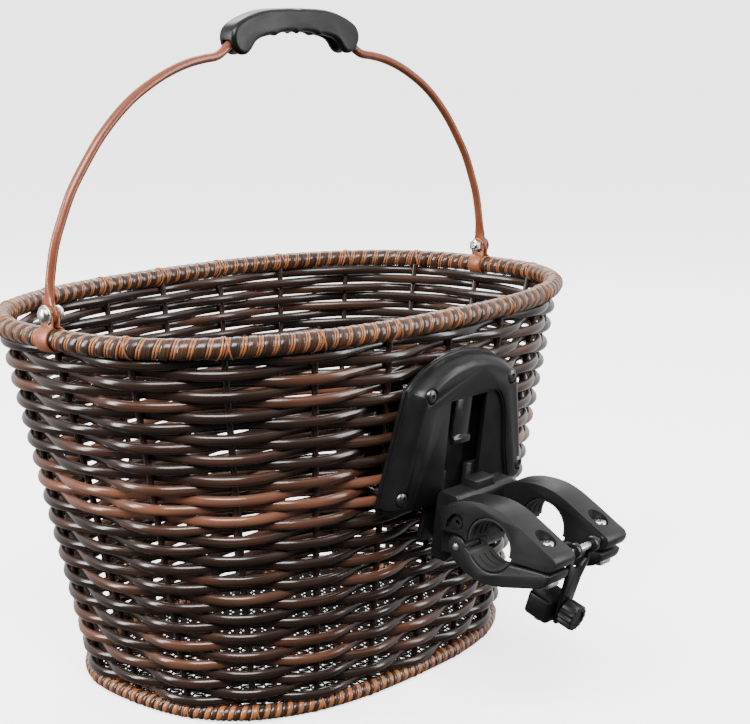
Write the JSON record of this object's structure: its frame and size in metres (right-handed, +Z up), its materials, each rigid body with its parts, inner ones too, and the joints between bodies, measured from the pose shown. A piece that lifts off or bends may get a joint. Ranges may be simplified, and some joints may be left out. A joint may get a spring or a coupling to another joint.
{
  "type": "handlebar basket",
  "caption": "Oval woven basket with a swinging carrying bail, a slide-in receptacle on its back wall and a quick-release handlebar adapter with two clamps.",
  "frame": {"origin": "middle of the bounding box in X and Y, at the lowest point of the base hoop", "axes": "+Z up out of the basket's mouth, X along the basket's long axis, -Y out of the back wall towards the bicycle"},
  "size_m": [0.3678, 0.329, 0.3717],
  "materials": {
    "rattan": "glossy extruded synthetic rattan",
    "copper_steel": "copper-brown coating on steel",
    "zinc_steel": "bright zinc",
    "black_plastic": "satin moulded",
    "grip_plastic": "satin moulded",
    "rubber": "plain",
    "black_steel": "gloss black coating"
  },
  "bodies": {
    "basket": {"side_wall": "rattan", "floor_panel": "rattan", "top_rim": "rattan", "base_rim": "rattan", "rim_bracket_left": "copper_steel", "rim_bracket_right": "copper_steel", "pivot_bolt_left": "zinc_steel", "pivot_bolt_right": "zinc_steel", "pivot_nut_left": "zinc_steel", "pivot_nut_right": "zinc_steel", "receptacle_housing": "black_plastic", "latch_keeper": "black_steel", "inner_plate": "black_plastic", "mount_screw_1": "zinc_steel", "mount_screw_2": "zinc_steel", "mount_screw_3": "zinc_steel", "mount_screw_4": "zinc_steel", "mount_nut_1": "zinc_steel", "mount_nut_2": "zinc_steel", "mount_nut_3": "zinc_steel", "mount_nut_4": "zinc_steel"},
    "bail": {"bail_rod": "copper_steel", "grip": "grip_plastic"},
    "adapter": {"adapter_body": "black_plastic", "shim_upper_front": "rubber", "shim_upper_rear": "rubber", "jaw_pin_front": "zinc_steel", "jaw_pin_rear": "zinc_steel", "brace_pin": "zinc_steel"},
    "button": {"release_button": "black_plastic"},
    "pawl": {"latch_pawl": "black_plastic"},
    "jaw_front": {"lower_jaw_front": "black_plastic", "shim_lower_front": "rubber", "clamp_nut_front": "zinc_steel"},
    "jaw_rear": {"lower_jaw_rear": "black_plastic", "shim_lower_rear": "rubber", "clamp_nut_rear": "zinc_steel"},
    "bolt_front": {"clamp_bolt_front": "zinc_steel"},
    "bolt_rear": {"clamp_bolt_rear": "zinc_steel"},
    "brace": {"brace_strap": "black_steel", "brace_block": "black_plastic", "block_screw": "zinc_steel"},
    "knob": {"brace_knob": "black_plastic"}
  },
  "joints": [
    {"name": "bail_hinge", "type": "hinge", "parent": "basket", "child": "bail", "pos_m": [0, 0.04282, 0.2213], "axis": [1, 0, 0], "range_deg": [-85, 85]},
    {"name": "adapter_slide", "type": "slide", "parent": "basket", "child": "adapter", "axis": [0, -0.1236, 0.9923], "range_m": [0, 0.04]},
    {"name": "button_slide", "type": "slide", "parent": "adapter", "child": "button", "axis": [0, 0.1236, -0.9923], "range_m": [0, 0.004], "stiffness_N_per_m": 900, "springref_m": -0.003},
    {"name": "pawl_slide", "type": "slide", "parent": "adapter", "child": "pawl", "axis": [0, -0.9923, -0.1236], "range_m": [0, 0.0032]},
    {"name": "bolt_front_slide", "type": "slide", "parent": "adapter", "child": "bolt_front", "axis": [0, 0.0158, 0.9999], "range_m": [0, 0.022]},
    {"name": "jaw_front_hinge", "type": "hinge", "parent": "adapter", "child": "jaw_front", "pos_m": [-0.024, -0.10215, 0.09527], "axis": [1, 0, 0], "range_deg": [0, 8.8]},
    {"name": "bolt_rear_slide", "type": "slide", "parent": "adapter", "child": "bolt_rear", "axis": [0, 0.0158, 0.9999], "range_m": [0, 0.022]},
    {"name": "jaw_rear_hinge", "type": "hinge", "parent": "adapter", "child": "jaw_rear", "pos_m": [0.024, -0.10215, 0.09527], "axis": [1, 0, 0], "range_deg": [0, 8.8]},
    {"name": "brace_hinge", "type": "hinge", "parent": "adapter", "child": "brace", "pos_m": [0, -0.1592, 0.09897], "axis": [1, 0, 0], "range_deg": [-20, 60]},
    {"name": "knob_turn", "type": "hinge", "parent": "brace", "child": "knob", "pos_m": [0, -0.14739, 0.06285], "axis": [0, 0.9505, 0.3106], "range_deg": [0, 720]}
  ],
  "couplings": [
    {"joint": "pawl_slide", "follows": "button_slide", "ratio": 0.8},
    {"joint": "jaw_front_hinge", "follows": "bolt_front_slide", "rad_per_m": 6.9813},
    {"joint": "jaw_rear_hinge", "follows": "bolt_rear_slide", "rad_per_m": 6.9813}
  ]
}
